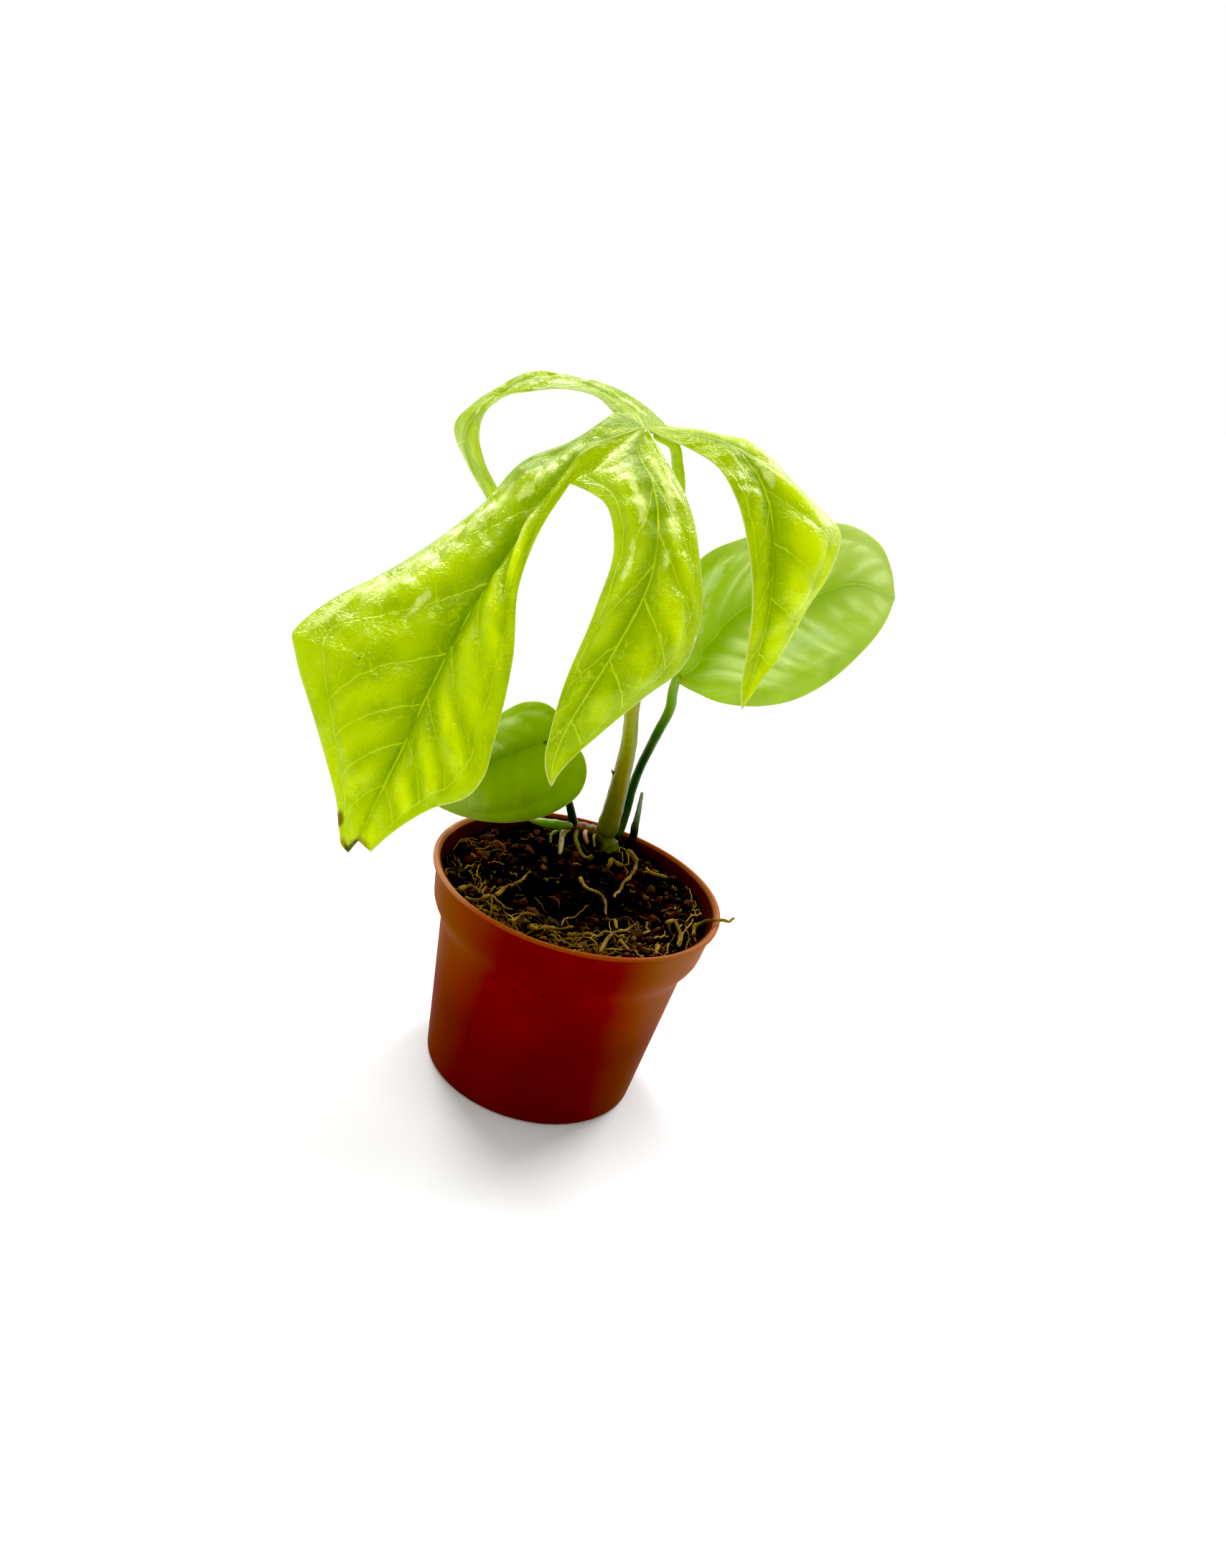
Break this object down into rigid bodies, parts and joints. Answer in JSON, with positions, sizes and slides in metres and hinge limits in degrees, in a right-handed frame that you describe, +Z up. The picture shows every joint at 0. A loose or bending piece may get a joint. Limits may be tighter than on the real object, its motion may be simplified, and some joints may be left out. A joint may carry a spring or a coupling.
{
  "type": "potted silver amydrium plant",
  "caption": "Young aroid pot plant: a deeply cut drooping leaf, an oval and a heart-shaped leaf on stalks from a creeping stem, in a small flared nursery pot.",
  "frame": {"origin": "middle of the flat foot of the pot, on the surface that it stands on", "axes": "+Z up through the pot, -Y towards the front, where the cut leaf hangs, +X to the right seen from the front"},
  "size_m": [0.1016, 0.0783, 0.1389],
  "materials": {
    "pot": "satin moulded red-brown plastic",
    "potting_mix": "matte dark crumbly potting mix",
    "stem": "satin olive and brown stem",
    "split_leaf": "glossy quilted lime-green blade",
    "oval_leaf": "satin mid-green blade",
    "heart_leaf": "satin green blade with lighter bands",
    "dried_sheath": "matte dried grey-green sheath",
    "bud_sheath": "satin green bud sheath",
    "root": "matte ochre root"
  },
  "bodies": {
    "root": {"pot": "pot", "potting_mix": "potting_mix", "main_stem": "stem", "split_leaf": "split_leaf", "oval_leaf": "oval_leaf", "heart_leaf": "heart_leaf", "dried_stub": "dried_sheath", "bud_sheath": "bud_sheath", "forked_root": "root", "lip_root": "root", "surface_root_01": "root", "surface_root_02": "root", "surface_root_03": "root", "surface_root_04": "root", "surface_root_05": "root", "surface_root_06": "root", "surface_root_07": "root", "surface_root_08": "root", "surface_root_09": "root", "surface_root_10": "root", "surface_root_11": "root", "surface_root_12": "root", "surface_root_13": "root", "surface_root_14": "root", "surface_root_15": "root"}
  },
  "joints": []
}
